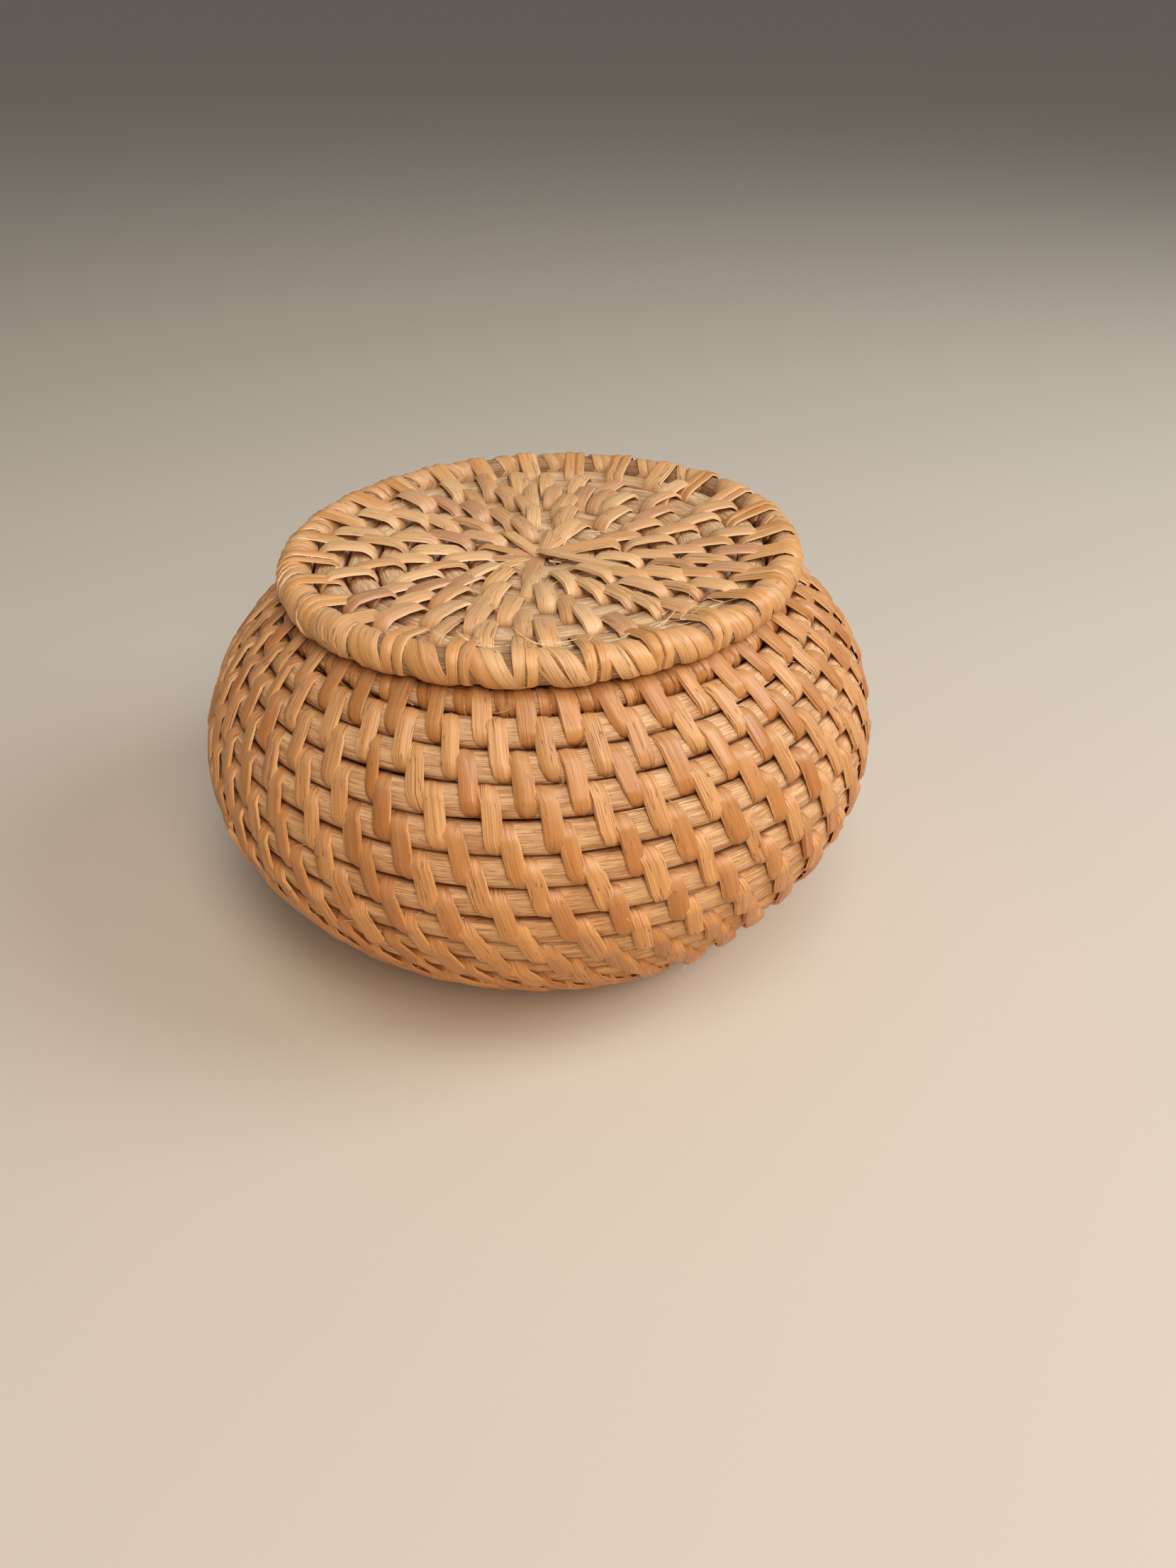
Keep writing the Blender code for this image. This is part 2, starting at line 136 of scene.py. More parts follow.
def stepped(turns, weight):
    """Rows climbed after so many turns: each climbs within STEP_SHARE, then runs level.

    Rows = turns + weight (smooth(part of the turn / STEP_SHARE) - part of the turn).
    """
    part = np.mod(turns, 1.0)
    return turns + weight * (smooth(part / STEP_SHARE) - part)


def wander(turns, size, start):
    """Small irregular drift of a row by hand: three sines of turns, in millimetres."""
    return size * (0.5 * np.sin(TURN * 3.17 * turns + start)
                   + 0.3 * np.sin(TURN * 7.39 * turns + 2.0 * start)
                   + 0.2 * np.sin(TURN * 13.71 * turns + 3.0 * start))


upper = np.linspace(MOUTH_RING[1], BELLY_HEIGHT, 200)
lower = np.linspace(BELLY_HEIGHT, FOOT_HEIGHT, 200)[1:]
WALL_LENGTH, wall_at = half_section(
    np.concatenate((bulged(upper, SHOULDER_FULLNESS, MOUTH_RING),
                    bulged(lower, FOOT_FULLNESS, (FOOT_RADIUS, FOOT_HEIGHT)))),
    np.concatenate((upper, lower)))
WALL_ROWS = int(WALL_LENGTH / COIL_PITCH)
WALL_PITCH = WALL_LENGTH / WALL_ROWS
BASE_LENGTH, base_at = disc((FOOT_RADIUS, FOOT_HEIGHT), BODY_EYE, BASE_RISE)
BASE_ROWS = int(BASE_LENGTH / COIL_PITCH * LOOP_BENDS) / LOOP_BENDS
PLATE_LENGTH, plate_at = disc(LID_PLATE, LID_EYE, -LID_DISH)
PLATE_ROWS = int(PLATE_LENGTH / LID_PITCH * LOOP_BENDS) / LOOP_BENDS


def body_row(turns):
    """(radius, height) of the body's spiral; turn 0 ends the base, WALL_ROWS the rim."""
    turns = np.asarray(turns, dtype=float)
    weight = np.clip((turns + BASE_ROWS) / BASE_ROWS, 0.0, 1.0)
    rows = stepped(turns, weight)
    free = smooth((WALL_ROWS - 0.5 - rows) / FREE_ROWS) * smooth((rows - 0.3) / FREE_ROWS)
    wall = wall_at((WALL_ROWS - rows) * WALL_PITCH + free * wander(turns, ROW_WANDER, 0.6))
    wall = wall + (free * wander(turns, ROW_WANDER, 4.1))[..., None] * (1.0, 0.0)
    return np.where((rows < 0.0)[..., None], base_at(-rows * COIL_PITCH), wall)


def plate_row(turns):
    """(radius, height) of the lid plate's spiral; turn 0 ends it at its edge."""
    turns = np.asarray(turns, dtype=float)
    weight = np.clip((turns + PLATE_ROWS) / PLATE_ROWS, 0.0, 1.0)
    rows = -np.minimum(stepped(turns, weight), 0.0)
    free = smooth(rows / 0.5) * smooth((PLATE_ROWS - rows) / FREE_ROWS)
    spots = plate_at(rows * LID_PITCH + free * wander(turns, ROW_WANDER, 2.2))
    return spots + (free * wander(turns, PLATE_WANDER, 5.0))[..., None] * (0.0, 1.0)


def tail_size(turns):
    """Size of the mouth rim's rod, which thins out evenly along its tail."""
    return 1.0 - (1.0 - TAIL_RADIUS) * np.clip((turns - WALL_ROWS) / TAIL_SHARE, 0.0, 1.0)


def rim_row(turns):
    """The mouth rim's row, whose tapered end lies on the row that climbs below it."""
    below = body_row(turns - 1.0)
    reach = ROD * (1.0 + tail_size(turns)) + TAIL_ROOM
    on_tail = below + unit(below - body_row(turns - 2.0)) * reach[..., None]
    level = body_row(np.minimum(turns, WALL_ROWS))
    return np.where((turns > WALL_ROWS)[..., None], on_tail, level)


def plate_and_hoop(turns):
    """(radius, height) of the lid's hoop, and a turn before it of the plate's edge."""
    return np.where((turns >= 0.0)[..., None], LID_HOOP, LID_PLATE)


def plate_tail_size(turns):
    """Size of the lid plate's rod, which thins out where the row inside it climbs beside it.

    It is half of what is left of the pitch, as a share of the rod's radius.
    """
    room = 0.5 * LID_PITCH * (1.0 - smooth(turns / STEP_SHARE))
    return np.where(turns > 0.0, np.minimum(room / LID_ROD, 1.0), 1.0)


def plate_tail_row(turns):
    """The lid plate's row, whose tail runs on along the hoop until it has thinned out."""
    turns = np.asarray(turns, dtype=float)
    spots = plate_row(np.minimum(turns, 0.0))
    shift = LID_ROD * (1.0 - plate_tail_size(turns))
    return spots + shift[..., None] * (1.0, 0.0)


# From the true round to meshes

SHARP_ANGLE = math.radians(50.0)  # edges that bend more than this stay crisp


def outward_at(turns):
    """Level unit vectors away from the axis, after so many turns of a spiral."""
    angle = STEP_ANGLE + TURN * turns
    return np.stack((np.cos(angle), np.sin(angle), 0.0 * angle), axis=-1)


def in_space(pairs, outward):
    """Points or ways in space: radius * outward + height * up."""
    return pairs[..., :1] * outward + pairs[..., 1:] * (0.0, 0.0, 1.0)


def settle_body(points):
    """Moves the body's points from the true round to how the basket stands.

    z += lift (1 - z / lift height)^2 near the foot, and z += lean x above it. Below the
    belly, x grows smoothly to the foot's shift.
    """
    x, z = points[..., 0], points[..., 2]
    lift = FOOT_LIFT * np.clip(1.0 - z / LIFT_HEIGHT, 0.0, 1.5) ** 2
    lean = LEAN * x * smooth(z / LEAN_HEIGHT)
    shift = FOOT_SHIFT * smooth(1.0 - z / BELLY_HEIGHT)
    return np.stack((x + shift, points[..., 1], z + lift + lean), axis=-1)


def settle_lid(points):
    """Moves the lid's points with the leaning mouth, z += lean x, and a little to the right."""
    x, z = points[..., 0], points[..., 2]
    return np.stack((x + LID_SHIFT, points[..., 1], z + LEAN * x), axis=-1)


def put_grid(name, points, coords, closed, values, body, material, slot, nodes=()):
    """One mesh of many tubes: points (tubes, along, round, 3), each ring closed.

    closed joins the last ring to the first; otherwise both ends get a flat cap. coords
    (tubes, along + 1, round + 1, 2) is the unwrapped surface in millimetres, and values
    are numbers per point that the materials read.
    """
    tubes, along, rings = points.shape[:3]
    tube, u, v = np.meshgrid(np.arange(tubes), np.arange(along if closed else along - 1),
                             np.arange(rings), indexing="ij")

    def index(du, dv):
        return (tube * along + (u + du) % along) * rings + (v + dv) % rings
    steps = ((0, 0), (1, 0), (1, 1), (0, 1))
    faces = np.stack([index(du, dv) for du, dv in steps], axis=-1).reshape(-1, 4)
    spots = np.stack([coords[tube, u + du, v + dv] for du, dv in steps], axis=-2).reshape(-1, 2)
    flat = points.reshape(-1, 3) * MM
    a, b, c, d = (flat[faces[:, k]] for k in range(4))
    volume = np.einsum("ij,ij->", a, np.cross(b, c)) + np.einsum("ij,ij->", a, np.cross(c, d))
    loops, sizes = faces.ravel(), np.full(len(faces), 4)
    if not closed:
        first = np.arange(tubes)[:, None] * along * rings + np.arange(rings)
        last = first + (along - 1) * rings
        loops = np.concatenate((loops, first.ravel(), last[:, ::-1].ravel()))
        sizes = np.concatenate((sizes, np.full(2 * tubes, rings)))
        spots = np.concatenate((spots, np.zeros((2 * tubes * rings, 2))))
    if volume < 0.0:
        loops, spots, sizes = loops[::-1], spots[::-1], sizes[::-1]
    mesh = bpy.data.meshes.new(name)
    mesh.vertices.add(len(flat))
    mesh.vertices.foreach_set("co", flat.ravel())
    mesh.loops.add(len(loops))
    mesh.loops.foreach_set("vertex_index", loops)
    mesh.polygons.add(len(sizes))
    mesh.polygons.foreach_set("loop_start", np.cumsum(sizes) - sizes)
    mesh.update(calc_edges=True)
    mesh.uv_layers.new(name="grain").data.foreach_set("uv", spots.ravel())
    for key, value in values.items():
        layer = mesh.attributes.new(key, "FLOAT", "POINT")
        filled = np.broadcast_to(value, points.shape[:3])
        layer.data.foreach_set("value", filled.astype(np.float32).ravel())
    mesh.validate()
    mesh.shade_smooth()
    mesh.set_sharp_from_angle(angle=SHARP_ANGLE)
    mesh.materials.append(material)
    piece = bpy.data.objects.new(name, mesh)
    bpy.context.scene.collection.objects.link(piece)
    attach(piece, body)
    if nodes:
        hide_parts(*nodes)
    return piece


# Split cane

# Where the points of one band lie: share of an end arc from its outer tangent (0) over its
# top (0.5) to its inner tangent (1), or share of the straight stretch
ARC = np.array([1.0, 0.72, 0.46, 0.33, 0.2, 0.07])
SPAN = np.array([0.1, 0.5, 0.9])
# Across the band: place across as a share of the width, and height as one of the thickness
ACROSS = np.array([-0.5, -0.43, 0.0, 0.43, 0.5])
CROWN = np.array([0.0, 0.66, 1.0, 0.66, 0.0])
VALLEY = 0.46                 # share of an end arc at which a band meets the next rod
GRIME_AND_SHADE_START = 0.2             # shares of it at which grime with painted shade, and the narrowing, start
NARROW_START = 0.08
INSIDE = (0.55, 0.9)          # shares of it between which both fade out again
INSIDE_NARROW = 0.3           # part of the narrowing that is left on the inside
GRIME_AND_SHADE = (0.8, 1.0)            # how much grime and painted shade a band gets in its first and second valley
ROUNDING = (0.1, 0.38)        # and how much narrower it is there
END_SHARE = 0.3               # share of the way between the valleys that an arc takes
WAVE, BOW = 0.16, 0.28        # sideways wave of a band, and spread of its sideways bow
EDGE_LIFT = 0.25              # spread of the lift of a band's edge
FLATTENED = 0.25              # part of its height that a band loses in a valley
BACK_SHARE = 0.33             # share of a wrap's circle that is its hidden way back


def belt(first, second, reach_first, reach_second, arch, open_ends=(False, False)):
    """Loop round two rods in the section: arcs about both, joined by their tangents.

    An arc is centre + reach (cos(angle) out + sin(angle) axis), between two tangents that
    tilt by asin(difference of the reaches / distance). The outer stretch arches out by
    arch * sin(pi * share). Returns points and outward ways (bands, along, 2), the share of
    the way from the first valley to the second, how deep in a valley each point lies, and
    how narrow the band is there. Both fade on the inside, and an open end lies in no valley.
    """
    apart = first - second
    distance = np.linalg.norm(apart, axis=-1)
    axis = apart / distance[:, None]
    out = np.stack((axis[:, 1], -axis[:, 0]), axis=-1)
    tilt = np.arcsin((reach_second - reach_first) / distance)[:, None]

    def arc(centre, reach, angle):
        way = np.cos(angle)[..., None] * out[:, None] + np.sin(angle)[..., None] * axis[:, None]
        return np.stack((centre[:, None] + np.reshape(reach, (-1, 1, 1)) * way, way))

    def span(start, end, shares):
        return (1.0 - shares)[:, None] * start + shares[:, None] * end

    def numbers(first_arc, straight, second_arc, inner):
        return np.concatenate((first_arc, straight + 0.0 * SPAN, second_arc[::-1], [inner]))
    top = arc(first, reach_first, tilt + (math.pi - 2.0 * tilt) * ARC)
    bottom = arc(second, reach_second, tilt - (math.pi + 2.0 * tilt) * ARC[::-1])
    outer = span(top[:, :, -1:], bottom[:, :, :1], SPAN)
    inner = span(bottom[:, :, -1:], top[:, :, :1], np.array([0.5]))
    points, ways = np.concatenate((top, outer, bottom, inner), axis=2)
    on_arc = 2.0 * END_SHARE * np.abs(0.5 - ARC)
    share = numbers(on_arc, END_SHARE + (1.0 - 2.0 * END_SHARE) * SPAN, 1.0 - on_arc, 0.5)
    inside = smooth((ARC - INSIDE[0]) / (INSIDE[1] - INSIDE[0]))
    valley = smooth((ARC - GRIME_AND_SHADE_START) / (VALLEY - GRIME_AND_SHADE_START)) * (1.0 - inside)
    # Grime and painted shade deep in each valley, none at an open end
    sides = [valley * grime_and_shade * (not is_open) for grime_and_shade, is_open in zip(GRIME_AND_SHADE, open_ends)]
    deep = numbers(sides[0], 0.0, sides[1], 0.0)
    narrow = np.clip((ARC - NARROW_START) / (VALLEY - NARROW_START), 0.0, 1.0) ** 2
    narrow = narrow * (1.0 - (1.0 - INSIDE_NARROW) * inside)
    ends = [rounding * (0.5 if is_open else 1.0) * narrow
            for rounding, is_open in zip(ROUNDING, open_ends)]
    narrow = numbers(ends[0], 0.0, ends[1], INSIDE_NARROW * max(ROUNDING))
    lift = np.sin(math.pi * share) * numbers(ARC <= 0.5, 1.0, ARC <= 0.5, 0.0)
    lift = np.reshape(arch, (-1, 1)) * lift
    return points + lift[..., None] * ways, ways, share, deep, narrow


def turn_round(centre, reach, count, start):
    """Loop round one rod in the section: centre + reach (cos angle, sin angle).

    It runs from the angle start over the top. The share grows from 0 to 1 and falls back
    to 0 on the hidden way back.
    """
    angle = start - TURN * np.arange(count) / count
    way = np.stack((np.cos(angle), np.sin(angle)), axis=-1)
    way = np.broadcast_to(way, (len(centre), count, 2))
    share = np.arange(count) / count
    seen = 1.0 - BACK_SHARE
    share = np.where(share < seen, share / seen, (1.0 - share) / BACK_SHARE)
    return centre[:, None] + reach * way, way, share, 0.0 * share, 0.0 * share


def band_points(loop, azimuth, width, lean, thickness, climb, tilt):
    """Points of flat bands that follow loops in the section, and their unwrapped surface.

    A point is the loop's point + way * height + climb * along the row, turned about the axis
    to azimuth + along the row / radius. Along the row = lean (share - 0.5) + sway + width
    (1 - narrow) across, and height = thickness * crown, with one edge lifted by tilt. climb
    is the row's (radius, height) gained per millimetre along it.
    """
    points, ways, share, deep, narrow = loop
    count = len(azimuth)
    wide = width[:, None] * (1.0 - narrow)
    sway = (WAVE * np.sin(TURN * (share + draw.random((count, 1))))
            + draw.normal(0.0, BOW, (count, 1)) * np.sin(math.pi * share))
    along_row = (lean[:, None] * (share - 0.5) + sway)[..., None] + wide[..., None] * ACROSS
    height = thickness[:, None, None] * CROWN * (1.0 - FLATTENED * deep)[None, :, None]
    height = height + (tilt[:, None] * (1.0 - deep))[..., None] * ACROSS * 2.0 * (CROWN > 0)
    radius = points[..., 0:1] + ways[..., 0:1] * height + climb[:, 0:1, None] * along_row
    level = points[..., 1:2] + ways[..., 1:2] * height + climb[:, 1:2, None] * along_row
    angle = azimuth[:, None, None] + along_row / np.maximum(points[..., 0:1], 1.0)
    grid = np.stack((radius * np.cos(angle), radius * np.sin(angle), level), axis=-1)
    steps = np.linalg.norm(np.roll(points, -1, axis=1) - points, axis=-1)
    run = np.concatenate((np.zeros((count, 1)), np.cumsum(steps, axis=1)), axis=1)
    across = np.concatenate((ACROSS, [1.5]))
    coords = np.empty(run.shape + (len(across), 2))
    coords[..., 0] = width[:, None, None] * across + draw.uniform(0, 900, (count, 1, 1))
    coords[..., 1] = run[..., None] + draw.uniform(0, 900, (count, 1, 1))
    return grid, coords


def put_bands(name, loop, azimuth, width, lean, climb, settle, *place, dome=1.0, coarse=None):
    """One mesh of separate closed bands of split cane, each with its own tone.

    dome is the height of a band's crown in thicknesses of cane. coarse is 1 where a band
    lies with its fibrous inside out, and is drawn at random if not given.
    """
    count = len(azimuth)
    tone = draw.random(count)
    thickness = CANE * dome * draw.uniform(0.85, 1.05, count)
    tilt = draw.normal(0.0, EDGE_LIFT, count)
    grid, coords = band_points(loop, azimuth, width, lean, thickness, climb, tilt)
    share, deep = loop[2], loop[3]
    if coarse is None:
        coarse = smooth((draw.random(count) - 0.45) / 0.45)
    values = {"tone": tone[:, None, None], "deep": deep[None, :, None],
              "coarse": coarse[:, None, None], "fall": share[None, :, None],
              "edge": 2.0 * np.abs(ACROSS)}
    return put_grid(name, settle(grid), coords, True, values, *place)


def stitch_turns(first, last, per_turn, phase):
    """Turns at which stitches sit, per_turn(turns) of them to a turn.

    They are where the integral of per_turn, taken from phase on, is a whole number.
    """
    fine = np.linspace(first, last, 20000)
    counted = np.concatenate(([0.0], np.cumsum(0.5 * (per_turn(fine[1:]) + per_turn(fine[:-1]))
                                               * np.diff(fine))))
    counted -= np.interp(phase, fine, counted)
    wanted = np.arange(math.ceil(counted[0]), math.floor(counted[-1]) + 1)
    return np.interp(wanted, counted, fine)


def climb_at(row, turns):
    """(radius, height) that a row gains per millimetre along it."""
    bit = 0.002
    gain = row(turns + bit) - row(turns - bit)
    return gain / (2.0 * bit * TURN * row(turns)[..., 0:1])


# Core rods

RING_LENGTH, RING_BEND = 3.2, 0.16  # length / RING_LENGTH + bend / RING_BEND = 1 to a ring
ROD_SIDES = 22
RIDGE = 0.048                 # height of a rod's ridges as a share of its radius
RIDGES = ((3, 0.15), (6, 0.35), (10, 0.5))  # waves round a rod, and their shares in it
ROW_SIDE = 0.84               # sine of the way round a rod from which the next row is near


def rod_rings(row, first, last):
    """Turns at which a rod has its rings, closer where it bends, and lengths up to them."""
    fine = np.linspace(first, last, int((last - first) * 400) + 2)
    steps = np.linalg.norm(np.diff(in_space(row(fine), outward_at(fine)), axis=0), axis=1)
    arcs = np.concatenate(([0.0], np.cumsum(steps)))
    measure = arcs / RING_LENGTH + (fine - first) * TURN / RING_BEND
    turns = np.interp(np.linspace(0.0, measure[-1], int(measure[-1]) + 2), measure, fine)
    return turns, np.interp(turns, fine, arcs)


def put_rod(name, row, first, last, radius, settle, *place, size=None, tall=None, square=2.3,
            grime_and_shade=0.0):
    """Core rod along a spiral row, with the long ridges of its fibres.

    Its section is round, or |across / radius|^square + |to the next row / tall|^square = 1
    where the stitches press the rows together. It is multiplied by 1 - RIDGE + RIDGE *
    waves round the rod, whose phases drift along it, and by size(turns).
    """
    turns, along = rod_rings(row, first, last)
    outward = outward_at(turns)
    line = in_space(row(turns), outward)
    tangent = unit(np.gradient(line, axis=0))
    to_next = row(turns + 0.5) - row(turns - 0.5)
    to_next = np.where(np.abs(to_next).sum(axis=1, keepdims=True) < 0.01, (0.0, 1.0), to_next)
    rise = in_space(to_next, outward)
    rise = unit(rise - np.sum(rise * tangent, axis=1)[:, None] * tangent)
    side = np.cross(tangent, rise)
    angle = TURN * np.arange(ROD_SIDES) / ROD_SIDES
    thick = np.full((len(turns), ROD_SIDES), radius)
    if tall is not None:
        high = np.broadcast_to(tall(turns), len(turns))[:, None]
        thick = (np.abs(np.cos(angle) / radius) ** square
                 + np.abs(np.sin(angle) / high) ** square) ** (-1.0 / square)
    waves = 0.0
    for lobes, share in RIDGES:
        drift = (1.5 * np.sin(along / draw.uniform(14, 30) + draw.uniform(0, TURN))
                 + 1.5 * np.sin(along / draw.uniform(40, 90) + draw.uniform(0, TURN)))
        waves = waves + share * np.sin(lobes * angle + drift[:, None])
    thick = thick * (1.0 - RIDGE + RIDGE * waves)
    if size is not None:
        thick = thick * size(turns)[:, None]
    grid = (line[:, None] + thick[..., None] * (np.cos(angle)[:, None] * side[:, None]
                                                + np.sin(angle)[:, None] * rise[:, None]))
    coords = np.zeros((1, len(turns) + 1, ROD_SIDES + 1, 2))
    coords[0, :, :, 0] = radius * TURN * np.arange(ROD_SIDES + 1) / ROD_SIDES
    coords[0, :-1, :, 1] = along[:, None]
    coords[..., 1] += draw.uniform(0, 900)
    # Grime and painted shade on the sides towards the next rows, or an even amount along a round
    # rod
    near_rows = smooth((np.abs(np.sin(angle)) - ROW_SIDE) / (1.0 - ROW_SIDE))
    values = {"deep": grime_and_shade if tall is None else near_rows}
    return put_grid(name, settle(grid[None]), coords, False, values, *place)


# Materials


def linear(code):
    """Linear RGBA of an sRGB hex colour."""
    parts = [int(code[k:k + 2], 16) / 255.0 for k in (1, 3, 5)]
    return tuple(p / 12.92 if p <= 0.04045 else ((p + 0.055) / 1.055) ** 2.4
                 for p in parts) + (1.0,)


def fill(tree, node, inputs):
    """Sets the sockets of a node to numbers and colours, or links them."""
    for socket, value in inputs.items():
        if isinstance(value, bpy.types.NodeSocket):
            tree.links.new(value, node.inputs[socket])
        else:
            node.inputs[socket].default_value = value


def add(tree, kind, inputs, out=0, stops=(), **settings):
    """Adds a node with its settings, fills its sockets, and gives back one output.

    stops are (place, colour) pairs of a colour ramp.
    """
    made = tree.nodes.new(kind)
    for key, value in settings.items():
        setattr(made, key, value)
    fill(tree, made, inputs)
    for k, (place, colour) in enumerate(stops):
        element = made.color_ramp.elements[k] if k < 2 else made.color_ramp.elements.new(place)
        element.position, element.color = place, linear(colour)
    return made.outputs[out]


MIX, MATHS = "ShaderNodeMix", "ShaderNodeMath"
STEP, KEPT = "ShaderNodeMapRange", "ShaderNodeAttribute"
COLOUR = {"data_type": "RGBA", "out": 2}  # sockets of a colour mix: 0, 6 and 7
SOFT = {"interpolation_type": "SMOOTHSTEP"}


def held(value, low, high, to_low=0.0, to_high=1.0):
    """Sockets of a step that carries low..high to to_low..to_high and holds the ends."""
    return {"Value": value, "From Min": low, "From Max": high, "To Min": to_low,
            "To Max": to_high}


def streaks(tree, across, along, detail, offset=0.0):
    """Noise drawn out along the grain: streaks so many millimetres wide and long."""
    grain = add(tree, "ShaderNodeUVMap", {}, uv_map="grain")
    drawn = add(tree, "ShaderNodeMapping", {"Vector": grain, "Location": (offset, offset, 0.0),
                                            "Scale": (1.0 / across, 1.0 / along, 1.0)})
    return add(tree, "ShaderNodeTexNoise", {"Vector": drawn, "Scale": 1.0, "Detail": detail,
                                            "Roughness": 0.55})


def warm_bounce_tinted(tree, colour, foot):
    """Painted warm bounce from below: deeper orange by foot at the floor, 0.3 of that at the
    mouth.
    """
    place = add(tree, "ShaderNodeTexCoord", {}, 3)
    height = add(tree, "ShaderNodeSeparateXYZ", {"Vector": place}, 2)
    warm_bounce_share = add(tree, STEP, held(height, 0.0, 0.1, foot, 0.3 * foot))
    return add(tree, MIX, {0: warm_bounce_share, 6: colour, 7: linear("#FFCF7E")}, blend_type="MULTIPLY",
               **COLOUR)


def new_material(name):
    """Empty material with its node tree and shader."""
    material = bpy.data.materials.new(name)
    material.use_nodes = True
    return material, material.node_tree, material.node_tree.nodes["Principled BSDF"]


def split_cane(name, tones, foot=0.0):
    """Split cane, the skin of the rattan vine shaved to flat strips and worn by hands.

    The waxy skin gives a satin sheen and an even orange tan. A strip that lies with its
    inside out is paler, dull and finely streaked. Cut edges are pale, and what lies in a
    valley is darkened by grime and painted shade. Streaks are 0.3 and 1.5 mm wide, as
    the vine's fibre bundles.
    foot is how much deeper the orange of the painted warm bounce light is at the foot of the
    basket.
    """
    material, tree, shader = new_material(name)
    tone, coarse, fall, edge, deep = (add(tree, KEPT, {}, 2, attribute_name=key)
                                      for key in ("tone", "coarse", "fall", "edge", "deep"))
    broad, fine = streaks(tree, 1.5, 30.0, 3.0), streaks(tree, 0.3, 18.0, 2.0, 7.0)
    veins = streaks(tree, 1.1, 26.0, 1.0, 31.0)
    # Dust and a painted top light pale and grey the upper end of a strip, and its lower end
    # keeps its orange
    dust_and_top_light = add(tree, STEP, held(fall, 0.05, 0.65, 0.42, 0.0), **SOFT)
    turned = add(tree, STEP, held(coarse, 0.0, 1.0, 0.0, 0.75), **SOFT)
    strength = add(tree, STEP, held(coarse, 0.0, 1.0, 0.4, 0.8), **SOFT)
    # Splits along the fibre: thin lines where a drawn-out noise crosses its middle
    middle = add(tree, MATHS, {0: add(tree, MATHS, {0: veins, 1: 0.54}, operation="SUBTRACT")},
                 operation="ABSOLUTE")
    patches = add(tree, STEP, held(broad, 0.35, 0.6, 0.15, 0.75), **SOFT)
    dark, light, split, cut = (
        add(tree, MATHS, {0: add(tree, STEP, held(*step), **SOFT), 1: share},
            operation="MULTIPLY")
        for share, *step in ((strength, fine, 0.42, 0.66, 0.0, 0.62),
                             (strength, broad, 0.48, 0.7, 0.0, 0.6),
                             (strength, middle, 0.003, 0.014, 1.0, 0.0),
                             (patches, edge, 0.86, 1.0)))
    colour = add(tree, "ShaderNodeValToRGB", {"Fac": tone}, stops=tones)
    for share, code in ((dust_and_top_light, "#D3AE86"), (turned, "#E3B27A"), (dark, "#94571F"),
                        (light, "#E8BA80"), (split, "#7E4A1F"), (cut, "#F0CB98")):
        colour = add(tree, MIX, {0: share, 6: colour, 7: linear(code)}, **COLOUR)
    # Grime and painted shade in the valleys
    grime_and_shade = add(tree, STEP, held(deep, 0.15, 1.0, 0.0, 0.9), **SOFT)
    grimy_and_shaded = add(tree, MIX, {0: grime_and_shade, 6: colour, 7: linear("#7C4A20")}, blend_type="MULTIPLY",
                **COLOUR)
    satin = add(tree, STEP, held(fine, 0.3, 0.7, 0.31, 0.48), **SOFT)
    dull = add(tree, MATHS, {0: coarse, 1: 0.16, 2: satin}, operation="MULTIPLY_ADD")
    ridges = add(tree, MATHS, {0: fine, 1: 0.5, 2: broad}, operation="MULTIPLY_ADD")
    relief = add(tree, MATHS, {0: split, 1: -0.8, 2: ridges}, operation="MULTIPLY_ADD")
    normal = add(tree, "ShaderNodeBump", {"Height": relief, "Strength": 0.65,
                                          "Distance": 0.00026})
    fill(tree, shader, {"Base Color": warm_bounce_tinted(tree, grimy_and_shaded, foot), "Roughness": dull, "IOR": 1.5,
                        "Coat Weight": 0.12, "Coat Roughness": 0.3, "Normal": normal})
    return material


def peeled_core(name, tones, foot=0.0):
    """Peeled rattan core: the vine's pith, pale straw, dull and open-pored.

    Long ridges 0.32 mm wide, dark open pores 3 mm long, and dark grime with painted shade
    towards the rows above and below.
    """
    material, tree, shader = new_material(name)
    deep = add(tree, KEPT, {}, 2, attribute_name="deep")
    broad, fine = streaks(tree, 2.2, 24.0, 3.0), streaks(tree, 0.32, 9.0, 3.0, 13.0)
    pores = streaks(tree, 0.24, 3.2, 1.0, 47.0)
    colour = add(tree, "ShaderNodeValToRGB", {"Fac": broad}, stops=tones)
    # Dark fibre streaks, pale streaks that are partly a painted highlight along the ridges, and
    # the pores
    for noise, low, high, most, code in ((fine, 0.46, 0.66, 0.55, "#8F5C2E"),
                                         (fine, 0.46, 0.3, 0.7, "#F6D9AC"),
                                         (pores, 0.62, 0.74, 0.55, "#523114")):
        share = add(tree, STEP, held(noise, low, high, 0.0, most), **SOFT)
        colour = add(tree, MIX, {0: share, 6: colour, 7: linear(code)}, **COLOUR)
    # Grime and painted shade towards the rows above and below
    grime_and_shade = add(tree, STEP, held(deep, 0.0, 1.0, 0.0, 0.95), **SOFT)
    grimy_and_shaded = add(tree, MIX, {0: grime_and_shade, 6: colour, 7: linear("#8C5A2A")}, blend_type="MULTIPLY",
                **COLOUR)
    dull = add(tree, STEP, held(fine, 0.3, 0.7, 0.62, 0.82), **SOFT)
    ridges = add(tree, MATHS, {0: fine, 1: broad}, operation="ADD")
    relief = add(tree, MATHS, {0: pores, 1: -0.5, 2: ridges}, operation="MULTIPLY_ADD")
    normal = add(tree, "ShaderNodeBump", {"Height": relief, "Strength": 0.7,
                                          "Distance": 0.0005})
    fill(tree, shader, {"Base Color": warm_bounce_tinted(tree, grimy_and_shaded, foot), "Roughness": dull, "IOR": 1.5,
                        "Normal": normal})
    return material


